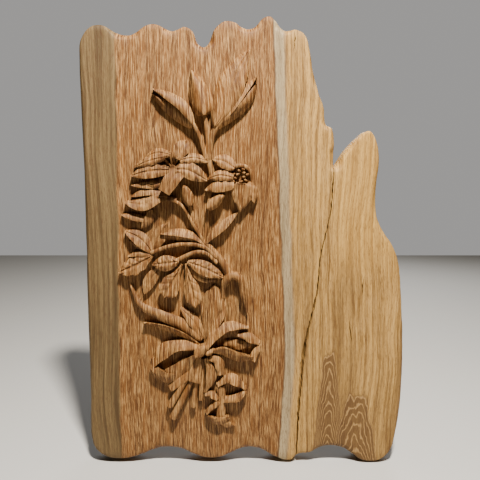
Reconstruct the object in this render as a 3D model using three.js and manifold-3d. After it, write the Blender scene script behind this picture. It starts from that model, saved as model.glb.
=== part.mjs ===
// A wall panel carved in relief from one live-edged slab of teak.
//
// Millimetres, +Z up, +X to the viewer's right, the carved face towards -Y.
// The origin is on the flat back, where the panel rests against the wall.
// Positions in the panel's plane are written [x, z]; "lift" is the height in
// front of the slab's flat front face.  The carving is made of three kinds of
// raised strip (leaf, stem and ribbon), each swept along a curve and rooted in
// the slab, and everything is joined into one solid.

import * as THREE from 'three';
import { mergeVertices } from 'three/addons/utils/BufferGeometryUtils.js';
import Module from 'manifold-3d';

const wasm = await Module();
wasm.setup();

// ---------------------------------------------------------------- dimensions

const THICKNESS = 32;        // slab, back to front face
const SPAN_POINTS = 2;       // points of the outline for each given place on the live edge
const EDGE_ROUND = 8.5;      // rounding of the front edge on a straight run
const EDGE_ROUND_MIN = 4.5;  // on a sharp crest
const EDGE_ROUND_MAX = 12;   // in a hollow
const BACK_ROUND = 2;        // rounding of the back edge
const ROOT = 3;              // how far the carving reaches down into the slab
const TOLERANCE = 0.05;      // how closely the joins follow the surfaces
const WELD = 0.02;           // corners closer together than this become one
const OWN_LEVEL = 0.017;     // each strip is this much higher than the one before
const TIP = 0.7;             // width at which a pointed tip ends
const STATION = 15;          // spacing of the sections along a leaf, stem or ribbon

// The live edge, clockwise from the top left corner: crests, hollows and the
// places in between that the wavy line needs.
const TOP_EDGE = [
  [-214, 281], [-201, 297], [-185, 299], [-169, 291], [-154, 288], [-139, 293],
  [-121, 301], [-106, 297], [-93, 293], [-77, 297], [-67, 291], [-61, 278],
  [-53, 273], [-46, 279], [-39, 293], [-25, 304], [-10, 302], [4, 296],
  [14, 298], [24, 307], [34, 310], [44, 302], [54, 294], [68, 294], [79, 288],
];
const RIGHT_EDGE = [
  [86, 272], [92, 242], [99, 217], [108, 191], [111, 172], [117, 168],
  [121, 156], [122, 136], [123, 116], [127, 120], [139, 138], [154, 154],
  [168, 164], [178, 151], [183, 120], [181, 90], [183, 52], [191, 31],
  [205, 9], [215, -18], [220, -57], [224, -102], [226, -153], [225, -218],
  [220, -261], [213, -289], [202, -302],
];
const BOTTOM_EDGE = [
  [188, -307], [171, -305], [156, -296], [140, -288], [123, -286], [107, -290],
  [93, -296], [80, -298], [71, -304], [61, -305], [46, -301], [28, -292],
  [11, -288], [-4, -290], [-22, -297], [-42, -302], [-66, -299], [-88, -291],
  [-109, -288], [-129, -291], [-152, -299], [-178, -303], [-198, -300],
];
const LEFT_EDGE = [
  [-212, -290], [-219, -272], [-219, -203], [-219, -82], [-217, 80], [-217, 257],
];

// The long drying crack, from the notch beside the right lobe to the bottom.
const CRACK = [[122, 122], [118, 53], [106, -5], [102, -55], [86, -135], [79, -220], [76, -310]];
const CRACK_WIDTH = 3.2;
const CRACK_DEPTH = 9;

// ------------------------------------------------------------------- helpers

const onFace = (x, z, lift) => [x, -(THICKNESS + lift), z];

// A closed solid from rings of points, with both ends capped by a fan.
function solidFromRings(rings) {
  const count = rings[0].length;
  const vertices = rings.flat(2);
  const faces = [];
  for (let r = 0; r < rings.length - 1; r++) {
    for (let i = 0; i < count; i++) {
      const next = (i + 1) % count;
      const a = r * count + i;
      const b = r * count + next;
      faces.push(a, b, b + count, a, b + count, a + count);
    }
  }
  const last = (rings.length - 1) * count;
  for (let i = 1; i < count - 1; i++) {
    faces.push(0, i + 1, i);
    faces.push(last, last + i, last + i + 1);
  }
  return solidFromFaces(vertices, faces);
}

function solidFromFaces(vertices, faces) {
  const geometry = new THREE.BufferGeometry();
  geometry.setAttribute('position', new THREE.Float32BufferAttribute(vertices, 3));
  geometry.setIndex(faces);
  return solidFromGeometry(geometry);
}

function solidFromGeometry(geometry) {
  const plain = geometry.clone();
  plain.deleteAttribute('normal');
  plain.deleteAttribute('uv');
  const merged = mergeVertices(plain, 1e-4);
  const solid = new wasm.Manifold(new wasm.Mesh({
    numProp: 3,
    tolerance: TOLERANCE,
    vertProperties: new Float32Array(merged.attributes.position.array),
    triVerts: new Uint32Array(merged.index.array),
  }));
  return solid.volume() > 0 ? solid : turnedOut(merged);
}

// The same mesh with its faces turned the other way round.
function turnedOut(geometry) {
  const turned = new Uint32Array(geometry.index.array);
  for (let i = 0; i < turned.length; i += 3) {
    [turned[i], turned[i + 1]] = [turned[i + 1], turned[i]];
  }
  return new wasm.Manifold(new wasm.Mesh({
    numProp: 3,
    tolerance: TOLERANCE,
    vertProperties: new Float32Array(geometry.attributes.position.array),
    triVerts: turned,
  }));
}

function planeCurve(points) {
  return new THREE.CatmullRomCurve3(
    points.map(([x, z]) => new THREE.Vector3(x, z, 0)), false, 'centripetal');
}

// A value that runs smoothly through a few given values along 0..1.
function along(values, t) {
  if (typeof values === 'number') return values;
  const place = t * (values.length - 1);
  const i = Math.min(Math.floor(place), values.length - 2);
  const f = THREE.MathUtils.smoothstep(place - i, 0, 1);
  return values[i] * (1 - f) + values[i + 1] * f;
}

// --------------------------------------------------------------------- strip

// One raised strip.  At every station it has a left and a right edge, seen
// along its spine from base to tip, each with a lift of its own, and between
// them a face that may bulge (crown) or have a groove along it (crease).
// From its free edges it is undercut down to a narrower foot in the slab.
let stripCount = 0;
function strip({ spine, widthAt, left, right, crown = 0, crease = 0, station = STATION,
  across = crease > 0 ? [-1, -0.5, 0, 0.5, 1] : [-1, 0, 1], foot = 0.62 }) {
  const curve = planeCurve(spine);
  const steps = Math.max(3, Math.round(curve.getLength() / station));
  const own = OWN_LEVEL * (stripCount++ % 20);   // so that no two strips lie in one plane
  const root = ROOT + own;
  const rings = [];
  for (let s = 0; s <= steps; s++) {
    const t = s / steps;
    const centre = curve.getPointAt(t);
    const heading = curve.getTangentAt(t);
    const half = widthAt(t) / 2;
    const fullness = Math.min(1, 2 * half / 8);
    const point = (u, lift) => onFace(
      centre.x - heading.y * half * -u, centre.y + heading.x * half * -u, lift);
    const leftLift = along(left, t) + own;
    const rightLift = along(right, t) + own;
    const face = across.map((u) => {
      const level = leftLift + (rightLift - leftLift) * (u + 1) / 2;
      const bulge = crown * (1 - u * u) * fullness;
      const groove = crease * Math.max(0, 1 - Math.abs(u) / 0.5) * fullness;
      return point(u, level + bulge - groove);
    });
    rings.push([point(-foot, -root), ...face, point(foot, -root)]);
  }
  return solidFromRings(rings);
}

// A leaf or petal: a narrow neck, fullest at a fraction of its length, pointed.
function leaf({ width, full = 0.5, neck = 3, ...rest }) {
  const power = Math.log(0.5) / Math.log(full);
  const widthAt = (t) => Math.max(TIP,
    width * Math.sin(Math.PI * t ** power) ** 0.8 + neck * (1 - t) ** 3);
  return strip({ widthAt, ...rest });
}

// A flat band with square ends.
function ribbon({ width, ...rest }) {
  return strip({ widthAt: (t) => along(width, t), ...rest });
}

// A round stalk; its lift is that of its top.
function stem({ width, lift, ...rest }) {
  const heaviest = Math.max(...[width].flat());
  const side = Array.isArray(lift) ? lift.map((top) => top - heaviest * 0.4) : lift - heaviest * 0.4;
  return strip({ widthAt: (t) => along(width, t), left: side, right: side,
    crown: heaviest * 0.4, foot: 0.9, ...rest });
}

// A closed bud: an egg-shaped body standing clear of the slab on a small foot.
function bud({ from, to, width, lift }) {
  const widthAt = (t) => Math.max(TIP, width * Math.sin(Math.PI * (0.06 + 0.92 * t) ** 0.8) ** 0.6);
  return strip({ spine: [from, to], widthAt, left: lift * 0.55, right: lift * 0.55,
    crown: lift * 0.45, across: [-1, -0.7, 0, 0.7, 1], foot: 0.5, station: 5 });
}

// An egg-shaped hollow, cut into the throat of a flower.
function hollow({ centre: [x, z], radii: [across, up], bottom, top }) {
  const egg = new THREE.SphereGeometry(1, 14, 8);
  egg.scale(across, (top - bottom) / 2, up);
  egg.translate(...onFace(x, z, (top + bottom) / 2));
  return solidFromGeometry(egg);
}

// ---------------------------------------------------------------------- slab

function slab() {
  const places = [...TOP_EDGE, ...RIGHT_EDGE, ...BOTTOM_EDGE, ...LEFT_EDGE];
  const edge = new THREE.CatmullRomCurve3(
    places.map(([x, z]) => new THREE.Vector3(x, z, 0)), true, 'centripetal');
  const count = SPAN_POINTS * places.length;
  const points = edge.getPoints(count).slice(0, count);
  const inward = points.map((p, i) => {
    const before = points[(i + count - 1) % count];
    const after = points[(i + 1) % count];
    const heading = after.clone().sub(before).normalize();
    return new THREE.Vector3(heading.y, -heading.x, 0);
  });
  const rounds = points.map((p, i) => {
    const before = inward[(i + count - 2) % count];
    const after = inward[(i + 2) % count];
    const bend = before.clone().cross(after).z;   // negative on a crest
    return THREE.MathUtils.clamp(EDGE_ROUND + 7 * bend, EDGE_ROUND_MIN, EDGE_ROUND_MAX);
  });
  const ring = (inset, y) => points.map((p, i) => {
    const by = inset(i);
    return [p.x + inward[i].x * by, y(i), p.y + inward[i].y * by];
  });
  const roundRing = (angle) => ring(
    (i) => rounds[i] * (1 - Math.cos(angle)),
    (i) => -(THICKNESS - rounds[i] * (1 - Math.sin(angle))));
  const rings = [
    ring(() => BACK_ROUND, () => 0),
    ring(() => 0, () => -BACK_ROUND),
    roundRing(0),
    roundRing(Math.PI * 0.3),
    roundRing(Math.PI / 2),
  ];
  const vertices = rings.flat(2);
  const faces = [];
  for (let r = 0; r < rings.length - 1; r++) {
    for (let i = 0; i < count; i++) {
      const next = (i + 1) % count;
      const a = r * count + i;
      const b = r * count + next;
      faces.push(a, b, b + count, a, b + count, a + count);
    }
  }
  const cap = (r, flip) => {
    const flat = rings[r].map(([x, , z]) => new THREE.Vector2(x, z));
    for (const [a, b, c] of THREE.ShapeUtils.triangulateShape(flat, [])) {
      const o = r * count;
      faces.push(...(flip ? [o + a, o + c, o + b] : [o + a, o + b, o + c]));
    }
  };
  cap(0, false);
  cap(rings.length - 1, true);
  return solidFromFaces(vertices, faces);
}

function crack() {
  const curve = planeCurve(CRACK);
  const steps = 16;
  const rings = [];
  for (let s = 0; s <= steps; s++) {
    const t = s / steps;
    const centre = curve.getPointAt(t);
    const heading = curve.getTangentAt(t);
    const half = CRACK_WIDTH / 2 * (0.75 + 0.5 * Math.sin(Math.PI * t) ** 2);
    const side = (by, lift) => onFace(centre.x + heading.y * by, centre.y - heading.x * by, lift);
    rings.push([side(-half * 1.6, 2), side(half * 1.6, 2), side(half * 0.2, -CRACK_DEPTH),
      side(-half * 0.2, -CRACK_DEPTH)]);
  }
  return solidFromRings(rings);
}

// ------------------------------------------------------------------- carving

// Three buds at the top: a folded pod to the left, a round bud, a broad leaf
// and a second pod to the right, on stalks that come together below them.
function topBuds() {
  return [
    stem({ spine: [[-50, 126], [-56, 148], [-63, 165], [-71, 178]], width: [7, 5], lift: [8, 13] }),
    stem({ spine: [[-49, 126], [-48, 152], [-50, 172], [-53, 188]], width: 6, lift: [7, 10] }),
    stem({ spine: [[-47, 126], [-44, 148], [-37, 166], [-25, 181]], width: [9, 8], lift: [8, 12] }),
    leaf({ spine: [[-65, 168], [-82, 191], [-101, 205], [-121, 216]], width: 14, full: 0.45,
      left: [9, 15, 9], right: [4, 2, 4] }),
    leaf({ spine: [[-67, 167], [-88, 180], [-105, 196], [-121, 214]], width: 16, full: 0.4,
      left: [4, 4, 4], right: [8, 14, 8], crown: 4 }),
    leaf({ spine: [[-52, 182], [-57, 206], [-69, 242]], width: 27, full: 0.4, neck: 9,
      left: [5, 4, 0], right: [5, 3, 0], crown: 10 }),
    leaf({ spine: [[-40, 166], [-26, 200], [-12, 232], [8, 268]], width: 36, full: 0.5,
      left: [4, 1, 0], right: [9, 11, 2], crown: 3, crease: 2 }),
    leaf({ spine: [[-36, 168], [-19, 190], [0, 214], [17, 232]], width: 13, full: 0.5,
      left: [5, 6, 3], right: [10, 14, 9] }),
    leaf({ spine: [[-35, 165], [-14, 183], [6, 202], [17, 223]], width: 13, full: 0.55,
      left: [10, 13, 8], right: [3, 3, 3], crown: 3 }),
    stem({ spine: [[-49, 132], [-46, 120], [-43, 105], [-47, 60], [-52, 14]], width: [9, 5],
      lift: [8, 6, 3] }),
  ];
}

// The left flower: petals curled around an open throat with stamens in it.
function leftFlower() {
  const throat = [-98, 121];
  const petals = [
    leaf({ spine: [[-97, 131], [-115, 134], [-133, 127]], width: 11, neck: 8,
      left: [13, 11, 8], right: [8, 4, 2] }),
    leaf({ spine: [[-104, 128], [-125, 123], [-147, 115]], width: 12, neck: 8,
      left: [15, 12, 7], right: [11, 8, 4] }),
    leaf({ spine: [[-98, 111], [-122, 110], [-151, 104]], width: 18, neck: 8,
      left: [17, 15, 11], right: [14, 9, 5], crown: 2, crease: 2 }),
    leaf({ spine: [[-98, 101], [-118, 93], [-138, 95]], width: 11, neck: 5,
      left: [10, 9, 6], right: [8, 6, 5] }),
    ribbon({ spine: [[-85, 113], [-97, 95], [-105, 82]], width: [22, 21, 17],
      left: [14, 20, 20], right: [14, 18, 19], crown: 2 }),
    leaf({ spine: [[-90, 112], [-74, 111], [-60, 104], [-48, 97]], width: 21, neck: 8,
      left: [13, 10, 6], right: [16, 14, 10], crown: 3, crease: 2 }),
    leaf({ spine: [[-84, 124], [-66, 127], [-45, 122]], width: 12, neck: 8,
      left: [10, 6, 3], right: [13, 11, 8] }),
    leaf({ spine: [[-89, 126], [-83, 138], [-74, 151]], width: 20, full: 0.55, neck: 10,
      left: [11, 8, 3], right: [14, 12, 9] }),
  ];
  const flower = wasm.Manifold.union(petals)
    .subtract(hollow({ centre: throat, radii: [14, 9.5], bottom: 1, top: 24 }));
  const stamens = [[-106, 127], [-98, 135], [-91, 132], [-86, 128]].map(([x, z]) =>
    stem({ spine: [[-95, 113], [(x - 95) / 2, (z + 113) / 2], [x, z]], width: [2.4, 3.2],
      lift: [6, 11] }));
  return [flower, ...stamens];
}

// The right flower, turned more to the front, with a ring of stamens.
function rightFlower() {
  const throat = [-4, 102];
  const petals = [
    leaf({ spine: [[-12, 114], [-27, 123], [-42, 126]], width: 18, neck: 8,
      left: [12, 10, 6], right: [8, 4, 2], crown: 1 }),
    leaf({ spine: [[-14, 101], [-32, 104], [-49, 99]], width: 13, neck: 8,
      left: [14, 13, 9], right: [11, 9, 6], crown: 1 }),
    leaf({ spine: [[-13, 91], [-32, 90], [-52, 85]], width: 15, neck: 8,
      left: [16, 15, 10], right: [13, 10, 6], crown: 2 }),
    leaf({ spine: [[-1, 94], [-2, 76], [-5, 55]], width: 27, full: 0.3, neck: 12,
      left: [9, 10, 9], right: [14, 12, 10], crown: 3 }),
    leaf({ spine: [[5, 94], [12, 83], [15, 67]], width: 13, neck: 8,
      left: [4, 4, 6], right: [11, 12, 10], crown: 1 }),
    stem({ spine: [[-22, 108], [-12, 116], [2, 116], [10, 107], [12, 92]], width: [6, 5],
      lift: [9, 8, 5] }),
  ];
  const flower = wasm.Manifold.union(petals)
    .subtract(hollow({ centre: throat, radii: [14, 12], bottom: 1, top: 24 }));
  const stamens = [];
  for (let i = 0; i < 7; i++) {
    const angle = 0.5 + i * 2 * Math.PI / 7;
    const reach = i % 2 ? 7 : 10;
    stamens.push(stem({ spine: [throat, [throat[0] + Math.cos(angle) * reach,
      throat[1] + Math.sin(angle) * reach]], width: [2.2, 3.6], lift: [5, 10] }));
  }
  return [flower, ...stamens];
}

// Buds on stalks and the long curling leaves below the flowers.
function budsAndLongLeaves() {
  return [
    bud({ from: [-71, 64], to: [-80, 91], width: 16, lift: 16 }),
    stem({ spine: [[-74, 66], [-66, 38], [-54, 11]], width: [6, 4], lift: [7, 6] }),
    bud({ from: [-49, 60], to: [-26, 79], width: 15, lift: 17 }),
    stem({ spine: [[-48, 61], [-50, 40], [-53, 12]], width: [6, 4], lift: [7, 6] }),
    stem({ spine: [[-50, 8], [-68, 38], [-83, 64], [-100, 73]], width: [4, 4], lift: [9, 11] }),
    leaf({ spine: [[-90, 72], [-112, 75], [-135, 66], [-160, 69]], width: 18, full: 0.6,
      left: [10, 15, 11], right: [8, 7, 4], neck: 4 }),
    leaf({ spine: [[-124, 58], [-128, 46], [-138, 33]], width: 12, left: [4, 5, 4], right: [7, 9, 8] }),
    leaf({ spine: [[-128, 44], [-146, 48], [-166, 52]], width: 9, left: [8, 9, 7], right: [5, 5, 4] }),
    leaf({ spine: [[-110, 89], [-130, 91], [-151, 91]], width: 8, left: [8, 9, 7], right: [6, 6, 5] }),
    leaf({ spine: [[-108, 80], [-128, 83], [-152, 76]], width: 10, left: [9, 10, 8], right: [6, 5, 4] }),
    leaf({ spine: [[-51, 14], [-40, 27], [-25, 40], [-8, 55]], width: 12,
      left: [6, 5, 4], right: [9, 12, 9] }),
    leaf({ spine: [[-48, 9], [-70, 24], [-92, 28], [-113, 26]], width: 10, full: 0.6,
      left: [8, 13, 9], right: [5, 3, 4] }),
    leaf({ spine: [[-58, 13], [-82, 19], [-111, 22]], width: 7, left: [4, 4, 4], right: [6, 8, 6] }),
  ];
}

// Two branches arch to the left, each with its veined leaves.
function branches() {
  return [
    stem({ spine: [[-38, -6], [-52, 7], [-75, 12], [-100, 9], [-126, 0]], width: 5.5, lift: 11 }),
    leaf({ spine: [[-124, 0], [-140, 19], [-161, 30]], width: 18, crease: 2, crown: 1,
      left: [9, 12, 9], right: [6, 4, 3] }),
    leaf({ spine: [[-127, 1], [-142, 10], [-157, 16]], width: 9, left: [4, 5, 4], right: [5, 5, 4] }),
    leaf({ spine: [[-121, 4], [-116, 20], [-103, 40]], width: 20, crown: 1,
      left: [5, 3, 3], right: [5, 6, 8] }),
    leaf({ spine: [[-124, -2], [-142, -1], [-158, -5]], width: 8, left: [9, 9, 7], right: [6, 5, 4] }),
    leaf({ spine: [[-124, -4], [-145, -16], [-171, -27]], width: 23, full: 0.55, crown: 2,
      crease: 3, left: [10, 13, 10], right: [7, 6, 4] }),
    stem({ spine: [[-36, -14], [-50, -1], [-64, 1], [-78, -4], [-92, -11]], width: 5.5, lift: 11 }),
    leaf({ spine: [[-88, -11], [-105, -14], [-125, -16]], width: 21, crown: 3, crease: 2,
      left: [11, 12, 9], right: [9, 8, 5] }),
    leaf({ spine: [[-84, -16], [-97, -39], [-112, -59]], width: 32, full: 0.6, crown: 3,
      crease: 3, left: [9, 11, 11], right: [8, 9, 8] }),
    leaf({ spine: [[-114, -20], [-128, -38], [-137, -58]], width: 17, left: [5, 6, 6],
      right: [5, 6, 5], crown: 1 }),
    leaf({ spine: [[-79, -15], [-72, -45], [-65, -73]], width: 26, full: 0.62, crown: 3,
      crease: 3, left: [8, 10, 10], right: [10, 10, 9] }),
    leaf({ spine: [[-76, -12], [-53, -21], [-27, -34]], width: 19, crown: 2, crease: 2,
      left: [8, 7, 6], right: [11, 13, 10] }),
    leaf({ spine: [[-74, -20], [-56, -34], [-36, -38]], width: 13, left: [5, 6, 4], right: [6, 8, 6] }),
  ];
}

// The main stalk, the hooked twig end beside it and the sheath down to the bow.
function stalk() {
  return [
    stem({ spine: [[-52, 14], [-41, 1], [-28, -15], [-18, -34]], width: [8, 12], lift: [9, 11] }),
    stem({ spine: [[-27, -58], [-25, -40], [-14, -31], [-5, -39], [-2, -60], [4, -86]],
      width: [12, 9, 2], lift: [5, 12, 8] }),
    leaf({ spine: [[-54, -128], [-46, -102], [-40, -74], [-35, -44]], width: 35, full: 0.65,
      left: [6, 3, 1], right: [9, 9, 3], crown: 3 }),
    stem({ spine: [[-20, -70], [-19, -99]], width: 3, lift: 3 }),
    leaf({ spine: [[-56, -120], [-68, -97], [-87, -76]], width: 15, left: [8, 11, 8],
      right: [7, 6, 5] }),
    leaf({ spine: [[-58, -124], [-82, -103], [-112, -89], [-141, -74], [-156, -44]], width: 16,
      full: 0.4, left: [9, 14, 12, 8], right: [7, 6, 3, 2], neck: 5 }),
    leaf({ spine: [[-60, -128], [-83, -111], [-106, -101], [-131, -99]], width: 10,
      left: [5, 4, 4], right: [8, 12, 8] }),
  ];
}

// The ribbon tied around the stalks: a knot, two loops and two folded tails.
function bow() {
  return [
    bud({ from: [-66, -142], to: [-50, -127], width: 17, lift: 22 }),
    bud({ from: [-53, -141], to: [-40, -134], width: 10, lift: 18 }),
    ribbon({ spine: [[-60, -132], [-86, -128], [-110, -137], [-127, -158]],
      width: [7, 12, 20, 8], left: [16, 17, 14, 10], right: [14, 8, 4, 4] }),
    ribbon({ spine: [[-124, -166], [-110, -175], [-97, -178]], width: 16,
      left: [13, 14, 12], right: [7, 8, 7] }),
    ribbon({ spine: [[-104, -173], [-86, -162], [-66, -144]], width: [22, 20, 8],
      left: [11, 10, 14], right: [8, 7, 11], crown: 1 }),
    ribbon({ spine: [[-52, -131], [-40, -114], [-20, -102], [7, -105]], width: [8, 14, 11, 3],
      left: [12, 8, 5, 6], right: [16, 15, 13, 9] }),
    ribbon({ spine: [[-8, -115], [8, -118], [22, -127]], width: [3, 12, 7], left: [8, 7, 5],
      right: [10, 13, 10] }),
    ribbon({ spine: [[-27, -127], [-8, -130], [10, -132]], width: [8, 14, 8], left: 4, right: 4 }),
    ribbon({ spine: [[-46, -137], [-28, -138], [-8, -146], [13, -148]], width: [5, 14, 14, 7],
      left: [15, 15, 16, 14], right: [10, 8, 7, 8] }),
    ribbon({ spine: [[11, -150], [15, -142], [23, -129]], width: [10, 9, 4], left: [8, 8, 7],
      right: [13, 11, 9] }),
    ribbon({ spine: [[-47, -146], [-35, -152], [-32, -172]], width: [8, 13, 9],
      left: [10, 9, 8], right: [12, 13, 11] }),
    ribbon({ spine: [[-62, -146], [-66, -164], [-71, -181]], width: [6, 15, 19],
      left: [12, 11, 12], right: [11, 12, 12] }),
    ribbon({ spine: [[-52, -148], [-45, -172], [-54, -198]], width: [6, 15, 4],
      left: [9, 10, 8], right: [9, 11, 8] }),
    ribbon({ spine: [[-37, -187], [-18, -177], [4, -193]], width: [5, 14, 5],
      left: [7, 7, 6], right: [10, 13, 10] }),
    ribbon({ spine: [[4, -196], [-11, -206], [-29, -209]], width: [4, 10, 7],
      left: [11, 13, 9], right: [8, 7, 6] }),
    ribbon({ spine: [[-32, -190], [-31, -214], [-33, -238]], width: 12, left: 7, right: 7 }),
    ribbon({ spine: [[-54, -200], [-46, -200], [-36, -208]], width: [4, 8, 6], left: 7,
      right: 11 }),
    ribbon({ spine: [[-36, -211], [-53, -228]], width: [8, 5], left: 11, right: 7 }),
    ribbon({ spine: [[-51, -232], [-38, -240], [-20, -236]], width: [3, 12, 6],
      left: [12, 12, 10], right: [8, 8, 7] }),
    ribbon({ spine: [[-38, -240], [-24, -246], [-12, -250]], width: [6, 12, 4], left: 7, right: 4 }),
  ];
}

// The cut ends of the stalks fan out below the knot.
function cutStalks() {
  return [
    stem({ spine: [[-62, -148], [-82, -182], [-104, -218]], width: [6, 10], lift: [10, 13] }),
    stem({ spine: [[-60, -150], [-76, -188], [-100, -236]], width: [6, 11], lift: [9, 12] }),
    stem({ spine: [[-58, -150], [-67, -190], [-71, -220]], width: [6, 8], lift: [8, 10] }),
    stem({ spine: [[-56, -150], [-59, -182], [-60, -210]], width: [6, 8], lift: [7, 9] }),
    ribbon({ spine: [[-76, -171], [-88, -181], [-103, -192]], width: [8, 10, 8], left: 12, right: 8 }),
  ];
}

// --------------------------------------------------------------------- panel

const joined = wasm.Manifold.union([
  slab().subtract(crack()),
  ...topBuds(),
  ...leftFlower(),
  ...rightFlower(),
  ...budsAndLongLeaves(),
  ...branches(),
  ...stalk(),
  ...bow(),
  ...cutStalks(),
]);

// Pockets sealed in under the leaves are left as solid wood: of the closed
// skins that the join has, only the outer one is kept.
const skins = joined.decompose();
const outer = skins.reduce((best, skin) => (skin.volume() > best.volume() ? skin : best));

// A join leaves a few corners a hair apart: they are welded, and the
// triangles that close up between them are dropped.
const mesh = outer.getMesh();
const raw = new THREE.BufferGeometry();
raw.setAttribute('position', new THREE.BufferAttribute(new Float32Array(mesh.vertProperties), 3));
raw.setIndex(new THREE.BufferAttribute(new Uint32Array(mesh.triVerts), 1));
const geometry = mergeVertices(raw, WELD);
const index = geometry.index.array;
const kept = [];
for (let i = 0; i < index.length; i += 3) {
  const [a, b, c] = index.slice(i, i + 3);
  if (a !== b && b !== c && c !== a) kept.push(a, b, c);
}
geometry.setIndex(kept);
geometry.computeVertexNormals();

const wood = new THREE.MeshStandardMaterial({ color: 0xa8763f, roughness: 0.7, metalness: 0 });
const panel = new THREE.Mesh(geometry, wood);
panel.name = 'carved_panel';

const model = new THREE.Group();
model.add(panel);
export default model;
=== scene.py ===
# %% [markdown]
# # A wall panel carved in relief from one slab of teak
#
# The real object is a single live-edged board, about 62 cm tall.  A bouquet of
# lilies, leaves and a tied ribbon stands out of its face, cut from the same
# wood, so everything here ends up as one closed mesh.  The frame holds a plainer
# solid of the same panel, whose box this mesh has to fill; the script gives the
# carving its fine forms and the wood its colours.  It works in metres, with +Z
# up and the carving facing -Y.

# %% Load the frame
import math

import bmesh
import bpy
import numpy as np
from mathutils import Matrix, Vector, noise


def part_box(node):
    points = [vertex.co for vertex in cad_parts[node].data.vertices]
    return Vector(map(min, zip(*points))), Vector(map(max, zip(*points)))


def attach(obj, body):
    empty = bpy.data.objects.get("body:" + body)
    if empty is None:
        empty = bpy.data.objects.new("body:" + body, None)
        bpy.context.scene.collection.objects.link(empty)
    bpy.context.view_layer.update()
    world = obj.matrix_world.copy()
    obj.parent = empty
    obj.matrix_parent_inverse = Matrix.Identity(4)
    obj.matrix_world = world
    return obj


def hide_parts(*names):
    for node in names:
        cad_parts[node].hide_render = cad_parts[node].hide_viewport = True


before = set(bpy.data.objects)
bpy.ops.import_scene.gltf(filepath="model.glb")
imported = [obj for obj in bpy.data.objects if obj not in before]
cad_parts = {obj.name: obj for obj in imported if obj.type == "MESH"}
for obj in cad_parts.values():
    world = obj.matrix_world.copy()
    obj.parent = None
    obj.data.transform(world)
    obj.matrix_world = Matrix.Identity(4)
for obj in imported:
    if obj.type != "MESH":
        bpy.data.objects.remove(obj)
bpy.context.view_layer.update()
LOW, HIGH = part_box("carved_panel")
print("panel, low and high corner:", [round(v, 3) for v in (*LOW, *HIGH)])

# %% [markdown]
# ## Camera
#
# The camera goes first, because every look at the work needs it.  It stands a
# little above the middle of the panel, tips down by a few degrees and uses a
# moderate lens, as a person does who takes a picture of a plaque from close by.

# %% Camera
MM = 0.001
THICKNESS = 32              # slab, back to front face, in millimetres
CAMERA_DISTANCE = 655       # from the slab's front face
CAMERA_HEIGHT = 93.5        # above the slab's mid-height
CAMERA_SIDE = -5
CAMERA_TIP_DOWN = 6.7       # degrees
LENS = 36.1

camera_data = bpy.data.cameras.new("camera")
camera_data.lens = LENS
camera_data.sensor_width = 36
camera = bpy.data.objects.new("camera", camera_data)
camera.location = (CAMERA_SIDE * MM, -(THICKNESS + CAMERA_DISTANCE) * MM, CAMERA_HEIGHT * MM)
camera.rotation_euler = (math.radians(90 - CAMERA_TIP_DOWN), 0, 0)
bpy.context.scene.collection.objects.link(camera)
bpy.context.scene.camera = camera
print("camera stands", round((camera.location - Vector(HIGH)).length, 2), "m from the top corner")

# %% [markdown]
# ## From numbers to meshes
#
# A carving like this could be sculpted by hand with brushes.  It is built by
# code instead, because a leaf, a petal, a stalk and a ribbon are all the same
# kind of thing: a raised strip that follows a curve.  Points in the panel's
# plane are written in millimetres as (x, z), and "lift" is the height in front
# of the slab's flat face.

# %% Points on the face
def on_face(x, z, lift):
    """A place on or above the face, in metres."""
    return (x * MM, -(THICKNESS + lift) * MM, z * MM)


def new_object(name, vertices, faces):
    mesh = bpy.data.meshes.new(name)
    mesh.from_pydata(vertices, [], faces)
    mesh.validate()
    made = bpy.data.objects.new(name, mesh)
    bpy.context.scene.collection.objects.link(made)
    return made


print("the middle of the face is at", on_face(0, 0, 0))

# %% [markdown]
# A smooth curve through a few points is a Catmull-Rom spline.  The centripetal
# kind is used: it stays close to its points and never makes small loops where
# two of them stand near each other.

# %% Smooth curves
def span(p0, p1, p2, p3, f):
    """A point between p1 and p2 on the centripetal Catmull-Rom spline."""
    d0 = max(np.linalg.norm(p1 - p0), 1e-6) ** 0.5
    d1 = max(np.linalg.norm(p2 - p1), 1e-6) ** 0.5
    d2 = max(np.linalg.norm(p3 - p2), 1e-6) ** 0.5
    leave = ((p1 - p0) / d0 - (p2 - p0) / (d0 + d1) + (p2 - p1) / d1) * d1
    arrive = ((p2 - p1) / d1 - (p3 - p1) / (d1 + d2) + (p3 - p2) / d2) * d1
    c2 = -3 * p1 + 3 * p2 - 2 * leave - arrive
    c3 = 2 * p1 - 2 * p2 + leave + arrive
    return p1 + leave * f + c2 * f * f + c3 * f ** 3


def smooth_curve(points, per_span, closed=False):
    points = [np.array(p, dtype=float) for p in points]
    if closed:
        around = [points[-1]] + points + points[:2]
    else:
        around = [2 * points[0] - points[1]] + points + [2 * points[-1] - points[-2]]
    curve = []
    for i in range(len(around) - 3):
        for k in range(per_span):
            curve.append(span(*around[i:i + 4], k / per_span))
    if not closed:
        curve.append(points[-1])
    return np.array(curve)


def evenly(curve, step):
    """The same curve with its points a given step apart."""
    gaps = np.linalg.norm(np.diff(curve, axis=0), axis=1)
    run = np.concatenate([[0], np.cumsum(gaps)])
    count = max(4, round(run[-1] / step))
    at = np.linspace(0, run[-1], count + 1)
    return np.stack([np.interp(at, run, curve[:, 0]), np.interp(at, run, curve[:, 1])], axis=1)


def along(values, t):
    """A value that runs smoothly through a few given values along 0..1."""
    if isinstance(values, (int, float)):
        return values
    place = t * (len(values) - 1)
    i = min(int(place), len(values) - 2)
    f = min(max(place - i, 0), 1)
    f = f * f * (3 - 2 * f)
    return values[i] * (1 - f) + values[i + 1] * f


BEND = smooth_curve([[0, 0], [9, 5], [20, 0]], 24)
print("a bend of", len(BEND), "points has", len(evenly(BEND, 2)), "at even steps")

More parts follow.
